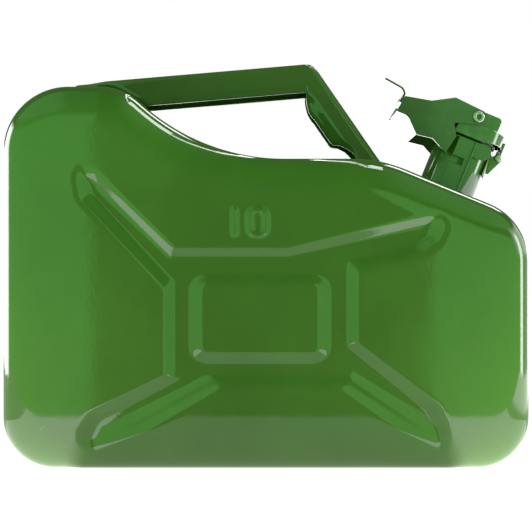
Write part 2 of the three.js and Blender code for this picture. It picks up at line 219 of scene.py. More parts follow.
def blur(field, sigma):
    """The field smoothed by a Gaussian of sigma grid steps."""
    reach = int(3 * sigma) + 1
    kernel = np.exp(-0.5 * (np.arange(-reach, reach + 1) / sigma) ** 2)
    kernel /= kernel.sum()
    for axis in (0, 1):
        field = np.apply_along_axis(
            lambda row: np.convolve(np.pad(row, reach, "edge"), kernel, "valid"), axis, field)
    return field


def tank_loop(inset=0.0):
    """The tank's outline, at the steps that its wall uses."""
    return rounded_loop(TANK_CORNERS, inset, arc_step=2.0, line_step=2.2)


def face_field(side):
    """Grid coordinates and the depth of the pressing at every grid point. The number
    reads from left to right on either side."""
    xs = np.arange(-HALF_LENGTH, HALF_LENGTH + GRID, GRID)
    zs = np.arange(0, TOP + GRID, GRID)
    x, z = np.meshgrid(xs, zs, indexing="ij")
    depth = np.max([patch_depth(p, x, z) for p in CROSS], axis=0)
    px = np.abs(x - PAD_CENTRE[0]) - PAD_HALF[0] + PAD_RADIUS
    pz = np.abs(z - PAD_CENTRE[1]) - PAD_HALF[1] + PAD_RADIUS
    out = np.hypot(np.clip(px, 0, None), np.clip(pz, 0, None)) + np.minimum(np.maximum(px, pz), 0)
    pad = ramp((PAD_RADIUS - out) / PAD_WALL)
    depth = blur(depth * (1 - PAD_RISE * pad), PRESS_BLUR) * PRESS_DEPTH
    reading = x if side < 0 else 2 * NUMBER_CENTRE - x
    return xs, zs, depth - NUMBER_RISE * blur(digit_height(reading, z), NUMBER_BLUR)


# The wall's section from the weld's channel to the broad side: (inset, distance from the
# middle plane). The rounding at its end is a quarter of an ellipse.
SEAM_SECTION = [(4, 0.15), (4, 3), (4, 4.8), (3.85, 5.5), (3.45, 6.05), (2.9, 6.4), (1.6, 6.9),
                (0.9, 7.3), (0.4, 7.9), (0.1, 8.7), (0, 9.8), (0, 13), (0, 17), (0, 21), (0, 25),
                (0, 30), (0, 38), (0, 46), (0, 54), (0, 61)]
CHANNEL_END = 10            # nearer the middle than this, the section has the channel
ROUND_STEPS = 26
SECTION = SEAM_SECTION + [
    (EDGE_RADIUS * (1 - math.cos(a)), HALF_DEPTH - EDGE_DEPTH * (1 - math.sin(a)))
    for a in (math.pi / 2 * k / ROUND_STEPS for k in range(ROUND_STEPS + 1))
]


def neck_point(u, v):
    """A point of the neck's frame in the can's frame: (x, z)."""
    c, s = math.cos(SHOULDER), math.sin(SHOULDER)
    return MOUTH[0] + u * c + v * s, MOUTH[1] - u * s + v * c


def near_neck(points, clear=29.0, fade=7.0):
    """For points (x, z) of the outline: 0 within clear of the neck's foot, then rising to
    1 over the distance fade."""
    foot = np.array(neck_point(0, -NECK_HEIGHT))
    far = np.linalg.norm(points - foot, axis=1)
    t = np.clip((far - clear) / fade, 0, 1)
    return t * t * (3 - 2 * t)


def field_at(xs, zs, field, x, z):
    """The field between its grid points."""
    u, v = (x - xs[0]) / GRID, (z - zs[0]) / GRID
    i, j = min(max(int(u), 0), len(xs) - 2), min(max(int(v), 0), len(zs) - 2)
    u, v = u - i, v - j
    low = field[i, j] * (1 - u) + field[i + 1, j] * u
    high = field[i, j + 1] * (1 - u) + field[i + 1, j + 1] * u
    return low * (1 - v) + high * v


RIM_GAP = 0.9 * GRID        # least room between the last ring and the grid


def shell_half(name, side):
    """One pressed half of the tank. Rings of points run round the narrow side and its
    rounding. A square grid carries the pressing, and triangles join the two."""
    base = tank_loop()
    count = len(base)
    away = near_neck(base)[:, None]
    verts = []
    for inset, out in SECTION:
        ring = tank_loop(inset)
        if out < CHANNEL_END:
            ring = base + (ring - base) * away
        verts += [(x, side * out, z) for x, z in ring]
    faces = []
    for r in range(len(SECTION) - 1):
        for i in range(count):
            j = (i + 1) % count
            faces.append((r * count + i, r * count + j, (r + 1) * count + j, (r + 1) * count + i))
    rim = [len(verts) - count + i for i in range(count)]
    rim_loop = tank_loop(EDGE_RADIUS)
    xs, zs, depth = face_field(side)
    for k in range(len(verts) - count * (ROUND_STEPS + 1), len(verts)):
        x, y, z = verts[k]
        verts[k] = (x, y - side * field_at(xs, zs, depth, x, z), z)
    edge = rounded_loop(TANK_CORNERS, EDGE_RADIUS + RIM_GAP)
    inside = inside_loop(edge, *np.meshgrid(xs, zs, indexing="ij"))
    number = -np.ones(inside.shape, int)
    cells = inside[:-1, :-1] & inside[1:, :-1] & inside[1:, 1:] & inside[:-1, 1:]
    used = np.zeros(inside.shape, bool)
    for dx in (0, 1):
        for dz in (0, 1):
            used[dx:cells.shape[0] + dx, dz:cells.shape[1] + dz] |= cells
    for i, j in np.argwhere(used):
        number[i, j] = len(verts)
        verts.append((xs[i], side * (HALF_DEPTH - depth[i, j]), zs[j]))
    stepped = set()
    for i, j in np.argwhere(cells):
        quad = [int(number[c]) for c in ((i, j), (i + 1, j), (i + 1, j + 1), (i, j + 1))]
        faces.append(quad)
        for a, b in zip(quad, quad[1:] + quad[:1]):
            if (b, a) in stepped:
                stepped.remove((b, a))
            else:
                stepped.add((a, b))
    faces += stitch(rim, rim_loop, sorted(stepped), verts, cells)
    obj = clean(mesh_object(name, verts, faces))
    open_neck(obj)
    solidify(obj, WALL)
    return obj


def inside_loop(loop, x, z):
    """Which of the points (x, z) lie inside a loop, by even-odd crossings."""
    inside = np.zeros(x.shape, bool)
    for (ax, az), (bx, bz) in zip(loop, np.roll(loop, -1, axis=0)):
        if az != bz:
            crosses = (az > z) != (bz > z)
            inside ^= crosses & (x < (bx - ax) * (z - az) / (bz - az) + ax)
    return inside


def bowed(loop, depth=0.02):
    """The loop with its straight runs bowed slightly inwards, so that no sliver of a
    triangle fits along them."""
    before, after = loop - np.roll(loop, 1, axis=0), np.roll(loop, -1, axis=0) - loop
    straight = np.abs(before[:, 0] * after[:, 1] - before[:, 1] * after[:, 0]) < 1e-6
    out, k = loop.copy(), 0
    while k < len(loop):
        end = k
        while end < len(loop) and straight[end]:
            end += 1
        for m in range(k, end):
            t = (m - k + 1) / (end - k + 1)
            inward = np.array([-after[m][1], after[m][0]]) / np.linalg.norm(after[m])
            out[m] += inward * depth * 4 * t * (1 - t)
        k = end + 1
    return out


def stitch(rim, rim_loop, stepped, verts, cells):
    """Triangles between the rim loop and the stepped edge of the grid inside it."""
    rim_loop = bowed(rim_loop)
    ids = list(rim)
    coords = [Vector(p) for p in rim_loop]
    index = {v: k for k, v in enumerate(rim)}
    edges = [(k, (k + 1) % len(rim)) for k in range(len(rim))]
    for a, b in stepped:
        for v in (a, b):
            if v not in index:
                index[v] = len(ids)
                ids.append(v)
                coords.append(Vector((verts[v][0], verts[v][2])))
        edges.append((index[a], index[b]))
    points, _, triangles, origin, _, _ = delaunay_2d_cdt(coords, edges, [], 0, 1e-6)
    outline = np.array([tuple(p) for p in rim_loop])
    middles = np.array([[sum(points[v][k] for v in t) / 3 for k in (0, 1)] for t in triangles])
    kept = inside_loop(outline, middles[:, 0], middles[:, 1])
    faces = []
    for tri, (x, z), inside in zip(triangles, middles, kept):
        i, j = int((x + HALF_LENGTH) / GRID), int(z / GRID)
        in_grid = 0 <= i < cells.shape[0] and 0 <= j < cells.shape[1] and cells[i, j]
        if inside and not in_grid:
            faces.append([ids[origin[v][0]] for v in tri])
    return faces


NECK_ZONE = (60, 27)        # how far below the mouth and off its axis the opening's rim may lie
NECK_CUT, NECK_GAP = 0.2, 0.4   # clearances of the faces taken out and of the rim left


def open_neck(obj):
    """Opens the shell where the neck passes through it, just wider than the neck."""
    axis = Vector((math.sin(SHOULDER), 0, math.cos(SHOULDER)))
    mouth = Vector((MOUTH[0], 0, MOUTH[1])) * MM
    deep, wide = NECK_ZONE
    bm = bmesh.new()
    bm.from_mesh(obj.data)

    def off_axis(v):
        """A point's distance from the neck's axis and its height over the mouth."""
        arm = v.co - mouth
        along = arm.dot(axis)
        return (arm - axis * along).length / MM, along / MM

    inside = []
    for face in bm.faces:
        spots = [off_axis(v) for v in face.verts]
        if all(-deep < h < 0 for _, h in spots) and min(r for r, _ in spots) < NECK_RADIUS + NECK_CUT:
            inside.append(face)
    bmesh.ops.delete(bm, geom=inside, context="FACES")
    for v in bm.verts:
        r, h = off_axis(v)
        off_middle = abs(v.co.y) > 0.3 * MM     # points of the middle plane stay on it
        if v.is_boundary and -deep < h < 0 and r < wide and off_middle:
            foot = mouth + axis * h * MM
            v.co = foot + (v.co - foot).normalized() * (NECK_RADIUS + NECK_GAP) * MM
    bm.to_mesh(obj.data)
    bm.free()


def solidify(obj, thickness):
    """Gives a surface the thickness of its sheet, inwards."""
    mod = obj.modifiers.new("sheet", "SOLIDIFY")
    mod.thickness = thickness * MM
    mod.offset = -1.0
    return mod


def bevel(obj, width, segments=2, degrees=30):
    """Rounds the edges where faces meet at more than the angle given."""
    mod = obj.modifiers.new("edge", "BEVEL")
    mod.width = width * MM
    mod.segments = segments
    mod.limit_method = "ANGLE"
    mod.angle_limit = math.radians(degrees)
    mod.harden_normals = False


def grid_faces(rows, columns, wrap_columns=False, wrap_rows=False):
    """Faces between rows of points, closed round on themselves where asked."""
    faces = []
    for r in range(rows if wrap_rows else rows - 1):
        for c in range(columns if wrap_columns else columns - 1):
            d, s = (c + 1) % columns, (r + 1) % rows
            faces.append((r * columns + c, r * columns + d, s * columns + d, s * columns + c))
    return faces


# ---------------------------------------------------------------- weld and handle
BEAD_HALF, BEAD_HEIGHT, BEAD_STEP, BEAD_TURN = 2.6, 1.5, 0.9, 1.2
CHANNEL_DEPTH = 4.05        # the bead lies just under the channel's floor
RIPPLE_PITCH = 3.4


def seam_bead():
    """The weld round the can, lying on the channel's floor, with a welder's ripples."""
    floor = rounded_loop(TANK_CORNERS, CHANNEL_DEPTH, BEAD_TURN, BEAD_STEP)
    top = rounded_loop(TANK_CORNERS, CHANNEL_DEPTH - BEAD_HEIGHT, BEAD_TURN, BEAD_STEP)
    keep = near_neck(floor, clear=29.5, fade=3.0)
    start = int(np.argmin(keep))
    order = np.roll(np.arange(len(floor)), -start)
    order = [k for k in order if keep[k] > 0]
    verts, along = [], 0.0
    angles = np.linspace(0, math.pi, 11)
    for n, k in enumerate(order):
        if n:
            along += np.linalg.norm(floor[k] - floor[order[n - 1]])
        ripple = 0.80 + 0.11 * abs(math.sin(along * math.pi / RIPPLE_PITCH))
        ripple += 0.06 * math.sin(along * 0.11)
        drift = 0.22 * math.sin(along * 0.047) + 0.1 * math.sin(along * 0.31)
        up = (top[k] - floor[k]) * keep[k] * ripple
        for a in angles:
            x, z = floor[k] + up * math.sin(a)
            verts.append((x, drift - BEAD_HALF * math.cos(a) * (0.92 + 0.08 * ripple), z))
    faces = grid_faces(len(order), len(angles), wrap_columns=True)
    return clean(mesh_object("seam_bead", verts, faces), merge=0.001)


HANDLE_HALF = 16.0
BAR_LIP_HALF, LEG_LIP_HALF = 15.3, 11.5
BAR_DOWN = np.array([0.0849, -0.9964])      # across the bar, downwards
LEG_DOWN = np.array([0.5695, -0.822])       # along the leg, and across it inwards
LEG_IN = np.array([-0.822, -0.5695])
LEG_TOP = np.array([51.2, 249.2])
BAR_END_BEND, BEND_OUT = (-105, 258), (-0.497, -0.867)  # where the walls start to draw in
HANDLE_SHEET = 1.5


def bar_top(x):
    """The line along the top of the bar."""
    return np.array([x, 274.9 + (x - 24.3) * 0.0852])


def handle_stations():
    """Stations along the handle, from the hump to the shoulder: top line, fold and lip
    edge (x, z), then the half width between the lips."""
    out = []
    tip = [(-138.0, 247.0), (-137.6, 254.0), (-137.1, 258.2), (-136.0, 260.4), (-134.2, 261.4)]
    for x, z in tip:
        o = np.array([x, z])
        out.append((o, o + BAR_DOWN * 15.0, o + BAR_DOWN * 18.0, BAR_LIP_HALF))
    for x in np.arange(-132.6, 27, 1.6):
        o = bar_top(x)
        out.append((o, o + BAR_DOWN * 16, o + BAR_DOWN * 20.2, BAR_LIP_HALF))
    corner = [
        (bar_top(27.9), (28.9, 259.2), (28.4, 254.9), BAR_LIP_HALF),
        ((29.6, 275.1), (29.0, 257.6), (28.4, 254.2), 15.0),
        ((31.2, 274.8), (29.1, 255.8), (28.3, 252.6), 13.6),
        ((32.6, 274.2), (29.4, 254.2), (28.3, 251.2), 12.6),
        ((34.0, 273.2), (30.6, 253.0), (28.4, 249.4), 12.0),
        ((35.3, 271.8), (32.3, 252.0), (28.7, 247.6), 11.7),
        ((37.0, 269.6), (34.0, 250.4), (29.1, 245.6), 11.6),
        ((39.6, 266.0), (35.4, 248.6), (29.7, 243.4), 11.5),
        ((42.6, 261.6), (36.8, 246.4), (30.5, 241.2), 11.5),
        ((45.6, 257.3), (38.3, 244.0), (31.7, 239.2), 11.5),
        ((48.5, 253.1), (39.8, 241.6), (33.3, 236.9), 11.5),
    ]
    out += [(np.array(o), np.array(f), np.array(i), half) for o, f, i, half in corner]
    for t in (1.5, 5.5, 9.5, 13.5, 17.5, 21.5):
        o = LEG_TOP + t * LEG_DOWN
        out.append((o, o + LEG_IN * 13.6, o + LEG_IN * 21.4, LEG_LIP_HALF))
    ankle = [
        ((65.6, 228.4), (54.8, 219.9), (47.6, 218.2), 11.6),
        ((69.0, 223.4), (57.9, 217.9), (52.4, 217.6), 12.4),
        ((72.6, 218.2), (60.9, 215.4), (57.4, 215.2), 13.6),
        ((76.2, 213.0), (63.0, 211.8), (61.4, 211.6), 15.0),
        ((80.0, 207.6), (65.2, 207.2), (64.6, 207.0), 15.7),
        ((84.2, 201.6), (68.4, 201.4), (68.0, 201.2), 15.8),
        ((88.0, 196.2), (71.8, 195.6), (71.6, 195.4), 15.8),
    ]
    out += [(np.array(o), np.array(f), np.array(i), half) for o, f, i, half in ankle]
    return out


def draw_in(x, z, y):
    """The bar's left end: beyond a slanting bend the walls run in towards the middle."""
    beyond = (x - BAR_END_BEND[0]) * BEND_OUT[0] + (z - BAR_END_BEND[1]) * BEND_OUT[1]
    softened = 0.5 * (beyond + math.sqrt(beyond * beyond + 0.5))
    return y * (1 - min(0.5, softened * 1.1 / HANDLE_HALF))


CORNER_ROUND, FOLD_ROUND = 4.2, 1.7
BAR_MIDDLE = -60            # left of this the walls may draw in


def handle_section(top, fold, lip, lip_half):
    """Half of the bent channel's section at a station, from its middle to its lip."""
    half = HANDLE_HALF
    depth = np.linalg.norm(fold - top)
    down = (fold - top) / depth
    round_ = CORNER_ROUND
    points = [(0.0, 0.0), (half * 0.25, 0.0), (half * 0.5, 0.02), (half - round_, 0.1)]
    for a in np.linspace(0, math.pi / 2, 7)[1:]:
        points.append((half - round_ + round_ * math.sin(a), 0.1 + round_ * (1 - math.cos(a))))
    wall_end = depth - FOLD_ROUND
    wall_start = round_ + 0.1
    for share in np.linspace(0, 1, 9)[1:]:
        points.append((half, wall_start + (wall_end - wall_start) * share))
    section = [(top + down * d, y) for y, d in points]
    wall = np.array([*(top + down * wall_end), half])
    corner = np.array([*fold, half])
    edge = np.array([*lip, lip_half])
    run = edge - corner
    length = max(0.01, np.linalg.norm(run))
    joggle = min(1.0, length * 0.3) * min(1.0, (half - lip_half) / 1.2)
    step = corner + run * 0.34 - np.array([0, 0, joggle * 0.5])
    for t in (0.3, 0.6, 1.0):
        p = wall * (1 - t) ** 2 + corner * 2 * t * (1 - t) + step * t * t
        section.append((p[:2], p[2]))
    inward = step + (edge - step) * 0.85
    hem = edge - np.array([0, 0, 2.2 * min(1.0, length / 4)])
    for p in (step + (edge - step) * 0.45, inward, edge - np.array([0, 0, 0.5]), hem):
        section.append((p[:2], p[2]))
    return section


def handle_channel():
    """The handle: one sheet bent to a channel that is open below, with folded lips."""
    verts, columns = [], 0
    stations = handle_stations()
    for station in stations:
        half = handle_section(*station)
        full = [(p, -y) for p, y in reversed(half)] + half[1:]
        columns = len(full)
        verts += [(p[0], draw_in(p[0], p[1], y) if p[0] < BAR_MIDDLE else y, p[1]) for p, y in full]
    obj = mesh_object("handle_channel", verts, grid_faces(len(stations), columns))
    clean(obj, merge=0.001)
    solidify(obj, HANDLE_SHEET).use_quality_normals = True
    bevel(obj, 0.35, 2, 50)
    return obj


# ---------------------------------------------------------------- turned closure parts
NECK_FRAME = Matrix.Translation((MOUTH[0] * MM, 0, MOUTH[1] * MM)) @ Matrix.Rotation(SHOULDER, 4, "Y")


def turned(name, section, pieces=112, rounding=0.22):
    """A turned piece about the neck's axis from (radius, height) points, edges rounded."""
    verts = []
    for k in range(pieces):
        a = 2 * math.pi * k / pieces
        verts += [(r * math.cos(a), r * math.sin(a), h) for r, h in section]
    faces = grid_faces(pieces, len(section), wrap_columns=True, wrap_rows=True)
    obj = clean(mesh_object(name, verts, faces), merge=0.001)
    obj.data.transform(NECK_FRAME)
    if rounding:
        bevel(obj, rounding, 2, 18)
    return obj


def across(name, centre, section, pieces=64, rounding=0.2):
    """A turned piece whose axis runs across the can, at (u, v) of the neck's frame."""
    obj = turned(name, section, pieces, 0)
    spot = Matrix.Translation((centre[0] * MM, 0, centre[1] * MM))
    obj.data.transform(NECK_FRAME.inverted())
    obj.data.transform(spot @ Matrix.Rotation(math.pi / 2, 4, "X"))
    obj.data.transform(NECK_FRAME)
    bevel(obj, rounding, 2, 20)
    return obj


def pin_section(radius, bore, head, length):
    """A hollow pin with a thin head at both ends."""
    half = length / 2
    return [(bore, -half), (head - 0.5, -half), (head, -half + 0.5), (head, -half + 0.95),
            (radius, -half + 1.2), (radius, half - 1.2), (head, half - 0.95), (head, half - 0.5),
            (head - 0.5, half), (bore, half)]


# ---------------------------------------------------------------- bent closure parts
def slabs(name, parts, rounding=0.4):
    """One piece of plates that stand along the can. Each is an outline in the neck's frame
    and the two distances from the middle plane between which it lies."""
    verts, faces = [], []
    for outline, low, high in parts:
        first, count = len(verts), len(outline)
        verts += [(u, y, v) for y in (low, high) for u, v in outline]
        faces.append([first + k for k in range(count)])
        faces.append([first + count + k for k in reversed(range(count))])
        for k in range(count):
            j = (k + 1) % count
            faces.append([first + k, first + count + k, first + count + j, first + j])
    obj = clean(mesh_object(name, verts, faces), merge=0.0001)
    obj.data.transform(NECK_FRAME)
    bevel(obj, rounding, 3)
    even_normals(obj)
    return obj


def even_normals(obj):
    """Keeps flat faces flat beside rounded edges."""
    even = obj.modifiers.new("even", "WEIGHTED_NORMAL")
    even.weight, even.keep_sharp = 80, True


def eased(line, radius, pieces=5):
    """A bent line whose inner corners are arcs of about the radius given."""
    points = [np.array(q, float) for q in line]
    out = [points[0]]
    for before, corner, after in zip(points, points[1:], points[2:]):
        a, b = before - corner, after - corner
        reach = min(radius, 0.4 * np.linalg.norm(a), 0.4 * np.linalg.norm(b))
        start, end = corner + a / np.linalg.norm(a) * reach, corner + b / np.linalg.norm(b) * reach
        for t in np.linspace(0, 1, pieces):
            out.append(start * (1 - t) ** 2 + corner * 2 * t * (1 - t) + end * t * t)
    return out + [points[-1]]


def bent_strip(line, thickness, radius=2.2):
    """The outline of a strip of sheet that follows a bent line seen from the side."""
    points = eased(line, radius)
    other = []
    for k, point in enumerate(points):
        along = points[min(k + 1, len(points) - 1)] - points[max(k - 1, 0)]
        along /= np.linalg.norm(along)
        other.append(point + np.array([-along[1], along[0]]) * thickness)
    return points + other[::-1]


def both_sides(outline, low, high):
    """The same plate on the front and on the back."""
    return [(outline, low, high), (outline, -high, -low)]


CHEEK_FACE, LEVER_WALL, HOOK_FACE, OVERLAP = 23.0, 1.4, 21.4, 0.2
CHEEK = [
    (-54.5, 9.4), (-36.2, 13.4), (-21.5, 21.8), (0.6, 20.3), (4.2, 17.1), (2.1, 10.8), (-15.9, 5.4),
    (-10.9, -3), (-13.6, -16), (-17.2, -14.9), (-25.6, -10.7), (-37.3, -12.4), (-47.6, -2.6),
    (-56.2, -2.6),
]
LEVER_FRONT = CHEEK[-3:] + CHEEK[:1]
LEVER_TAB = [(-55, 6), (-54.3, 9.8), (-54.1, 13), (-57.2, 16.4), (-71.4, 18.2)]
TAB_HALF = 14
HOOK_RADII, HOOK_ANGLES = (31.7, 33.3), (248.5, 246.5, 244.5, 242.5, 241)   # about the pivot


def lever_sheet():
    """Two cheeks, the front web that joins them, the thumb tab and the two hooks."""
    def arc(radius, degrees):
        return [(PIVOT[0] + radius * math.cos(a), PIVOT[1] + radius * math.sin(a))
                for a in (math.radians(d) for d in degrees)]
    hook = arc(HOOK_RADII[0], HOOK_ANGLES) + arc(HOOK_RADII[1], HOOK_ANGLES[::-1])
    parts = both_sides(CHEEK, CHEEK_FACE, CHEEK_FACE + LEVER_WALL)
    parts += both_sides(hook, HOOK_FACE, CHEEK_FACE + OVERLAP)
    parts.append((bent_strip(LEVER_FRONT, -LEVER_WALL), -CHEEK_FACE - OVERLAP, CHEEK_FACE + OVERLAP))
    parts.append((bent_strip(LEVER_TAB, LEVER_WALL), -TAB_HALF, TAB_HALF))
    return slabs("lever_sheet", parts)


BRACKET_FACE, BRACKET_SHEET = 20.8, 1.6
CATCH_HEIGHT, CATCH_DEPTH = -15.4, 5.1      # top of the notch, and how far down it goes
RIB_RISE = 1
EAR, EAR_RADIUS = (10.8, -6.0), 5.7


def catch_bracket(name, side):
    """A strip up the neck with the notch that the lever hooks into, a round ear and a rib."""
    foot = -NECK_HEIGHT + 4.2
    ear = [(EAR[0] + EAR_RADIUS * math.cos(a), EAR[1] + EAR_RADIUS * math.sin(a))
           for a in np.linspace(-math.pi / 2, math.pi / 2, 21)]
    outline = [(-9.5, foot), (4.6, foot), (4.6, -12.3), *ear, (4.6, -1.2), (-8.5, -1.2),
               (-8.5, CATCH_HEIGHT), (0.2, CATCH_HEIGHT), (0.2, CATCH_HEIGHT - CATCH_DEPTH),
               (-9.2, CATCH_HEIGHT - CATCH_DEPTH)]
    rib = [(3.4, foot), (4.6, foot), (4.6, -1.2), (3.4, -1.2)]
    face = BRACKET_FACE + BRACKET_SHEET
    parts = [(outline, BRACKET_FACE, face), (rib, BRACKET_FACE + OVERLAP, face + RIB_RISE)]
    if side < 0:
        parts = [(line, -high, -low) for line, low, high in parts]
    return slabs(name, parts, rounding=0.35)


# ---------------------------------------------------------------- node helpers
class Nodes:
    """A small builder for one node tree."""

    def __init__(self, tree):
        self.tree = tree
        tree.nodes.clear()

    def add(self, kind, settings=None, **inputs):
        node = self.tree.nodes.new(kind)
        for key, value in (settings or {}).items():
            setattr(node, key, value)
        for key, value in inputs.items():
            self.feed(node.inputs[key.replace("_", " ")], value)
        return node

    def feed(self, socket, value):
        if isinstance(value, bpy.types.NodeSocket):
            self.tree.links.new(value, socket)
        else:
            socket.default_value = value

    def math(self, operation, a, b=0.0, clamp=False):
        node = self.tree.nodes.new("ShaderNodeMath")
        node.operation, node.use_clamp = operation, clamp
        self.feed(node.inputs[0], a)
        self.feed(node.inputs[1], b)
        return node.outputs[0]

    def step(self, value, low, high, start=0.0, end=1.0):
        """A smooth step from start to end while value goes from low to high."""
        node = self.tree.nodes.new("ShaderNodeMapRange")
        node.interpolation_type = "SMOOTHSTEP"
        for slot, v in zip(("Value", "From Min", "From Max", "To Min", "To Max"),
                           (value, low, high, start, end)):
            self.feed(node.inputs[slot], v)
        return node.outputs[0]

    def window(self, value, low, high, soft):
        """1 while value lies between low and high, with soft ends."""
        return self.math("MULTIPLY", self.step(value, low - soft, low + soft),
                         self.step(value, high + soft, high - soft))

    def arc(self, value, low, high, soft):
        """A window on an angle, given in degrees."""
        return self.window(value, math.radians(low), math.radians(high), math.radians(soft))

    def mix(self, share, a, b):
        """The colour between a and b."""
        node = self.tree.nodes.new("ShaderNodeMix")
        node.data_type = "RGBA"
        self.feed(node.inputs[0], share)
        self.feed(node.inputs[6], a)
        self.feed(node.inputs[7], b)
        return node.outputs[2]

    def noise(self, coords, scale, detail=3.0, rough=0.5):
        return self.add("ShaderNodeTexNoise", Vector=coords, Scale=scale, Detail=detail,
                        Roughness=rough).outputs["Fac"]

    def bump(self, height, distance, strength, normal=None):
        node = self.add("ShaderNodeBump", Strength=strength, Distance=distance, Height=height)
        if normal is not None:
            self.feed(node.inputs["Normal"], normal)
        return node.outputs[0]


def new_material(name):
    """A new material and the builder for its nodes."""
    material = bpy.data.materials.new(name)
    material.use_nodes = True
    return material, Nodes(material.node_tree)


def shader(n, metallic=0.0, **inputs):
    """The surface and the output. What is the same all over is set on the sockets."""
    bsdf = n.add("ShaderNodeBsdfPrincipled", Metallic=metallic, **inputs)
    bsdf.inputs["Specular IOR Level"].default_value = 0.5
    bsdf.inputs["Coat Weight"].default_value = 0.0
    n.tree.links.new(bsdf.outputs[0], n.add("ShaderNodeOutputMaterial").inputs[0])


def tinted(colour, red, green, blue):
    """A colour with each channel multiplied."""
    return colour[0] * red, colour[1] * green, colour[2] * blue, 1


def enamel(name, dark, light, wear=0.5, gloss=0.045, peel=0.22, waves=0.12):
    """Sprayed gloss enamel over sheet steel: slight colour drift, orange peel, dust, painted shade
    in the creases and paint worn thin along the edges. Noise scales are per metre."""
    material, n = new_material(name)
    at = n.add("ShaderNodeTexCoord").outputs["Object"]
    cloud = n.noise(at, 9.0, 4.0, 0.6)
    speckle = n.noise(at, 900.0, 2.0, 0.6)
    colour = n.mix(n.step(cloud, 0.35, 0.68), dark, light)
    colour = n.mix(n.step(speckle, 0.66, 0.82, 0.0, 0.25), colour, tinted(light, 1.6, 1.4, 1.8))
    edges = n.add("ShaderNodeNewGeometry").outputs["Pointiness"]
    patches = n.step(n.noise(at, 210.0, 4.0, 0.7), 0.46, 0.62)
    rubbed = n.math("MULTIPLY", n.step(edges, 0.53, 0.60), patches, True)
    rubbed = n.math("MULTIPLY", rubbed, wear, True)
    colour = n.mix(rubbed, colour, tinted(light, 2.1, 1.6, 2.2))
    # Painted shade: the colour is darkened where the surface folds inwards, in creases and hollows.
    crease_shade = n.step(edges, 0.40, 0.455, 0.3, 0.0)
    colour = n.mix(crease_shade, colour, tinted(dark, 0.45, 0.5, 0.5))
    dust = n.step(n.noise(at, 34.0, 5.0, 0.65), 0.45, 0.8, gloss, gloss + 0.05)
    roughness = n.math("ADD", dust, n.math("MULTIPLY", rubbed, 0.25))
    swell = n.bump(n.noise(at, 16.0, 2.0, 0.4), 0.0011 * waves, 0.35)
    skin = n.bump(n.noise(at, 420.0, 2.0, 0.5), 0.00006, peel, swell)
    shader(n, Base_Color=colour, Roughness=roughness, Normal=skin)
    return material


def plated(name, colour, tint, roughness=0.28):
    """Zinc plate: fine crystalline mottling, small stains and a brushed bump."""
    material, n = new_material(name)
    at = n.add("ShaderNodeTexCoord").outputs["Object"]
    grain = n.add("ShaderNodeTexVoronoi", Vector=at, Scale=900.0).outputs["Distance"]
    stain = n.noise(at, 70.0, 5.0, 0.65)
    base = n.mix(n.step(stain, 0.4, 0.7), colour, tint)
    rough = n.step(grain, 0.0, 0.6, roughness, roughness + 0.16)
    skin = n.bump(n.noise(at, 1500.0, 3.0, 0.6), 0.00004, 0.4)
    shader(n, metallic=1.0, Base_Color=base, Roughness=rough, Normal=skin)
    return material


def rubber(name):
    """Black rubber with a grey bloom."""
    material, n = new_material(name)
    at = n.add("ShaderNodeTexCoord").outputs["Object"]
    bloom = n.noise(at, 120.0, 4.0, 0.6)
    base = n.mix(n.step(bloom, 0.4, 0.75), (0.012, 0.012, 0.012, 1), (0.035, 0.034, 0.032, 1))
    skin = n.bump(n.noise(at, 1100.0, 3.0, 0.6), 0.00008, 0.5)
    shader(n, Base_Color=base, Roughness=n.step(bloom, 0.3, 0.8, 0.62, 0.85), Normal=skin)
    return material


# Each enamel's darker and lighter shade.
TANK_PAINT = enamel("tank_enamel", (0.043, 0.103, 0.011, 1), (0.052, 0.123, 0.0145, 1))
SEAM_PAINT = enamel("seam_enamel", (0.034, 0.086, 0.010, 1), (0.047, 0.112, 0.013, 1),
                    gloss=0.13, peel=0.8)
CLOSURE_PAINT = enamel("closure_enamel", (0.040, 0.092, 0.020, 1), (0.052, 0.116, 0.027, 1),
                       wear=0.3, gloss=0.08, waves=0.1)
LEVER_PAINT = enamel("lever_enamel", (0.036, 0.070, 0.020, 1), (0.048, 0.090, 0.027, 1),
                     wear=0.3, gloss=0.08, waves=0.1)
ZINC = plated("zinc_plate", (0.46, 0.46, 0.42, 1), (0.33, 0.32, 0.27, 1))
HANDLE_PAINT = enamel("handle_enamel", (0.045, 0.080, 0.014, 1), (0.054, 0.097, 0.018, 1))
RUBBER = rubber("black_rubber")


# ---------------------------------------------------------------- pieces
place(shell_half("front_shell_pressed", -1), "can", "tank_paint", TANK_PAINT, "shell_front")
place(shell_half("rear_shell_pressed", 1), "can", "tank_paint", TANK_PAINT, "shell_rear")
place(seam_bead(), "can", "seam_paint", SEAM_PAINT, "seam_weld")
place(handle_channel(), "can", "tank_paint", HANDLE_PAINT, "handle")

# Turned pieces are sections of (radius, height over the mouth).
LOW = -NECK_HEIGHT + 0.3    # underside of the weld flange
place(turned("neck_turned", [
    (19.3, -47.4), (20.5, -47.4), (20.5, -1), (19.9, -0.2), (19.3, 0), (18.9, 0),
    (18.3, -0.6), (18.3, -1.8), (19.3, -2.6)]), "can", "tank_paint", TANK_PAINT, "neck_tube")
place(turned("flange_turned", [
    (20.8, LOW), (23.9, LOW), (23.7, LOW + 0.9), (22.1, LOW + 1.5), (21.3, LOW + 3), (20.8, LOW + 3)],
    rounding=0.3), "can", "tank_paint", TANK_PAINT, "neck_flange")
place(turned("cap_plate_turned", [
    (2.5, 6.4), (8, 6.2), (12, 3.4), (14, 1.9), (20.6, 1.9), (20.6, 2.9), (14.6, 2.9), (12.6, 4.4),
    (8.4, 7.3), (2.5, 7.5)]), "cap", "closure_paint", CLOSURE_PAINT, "cap_plate")
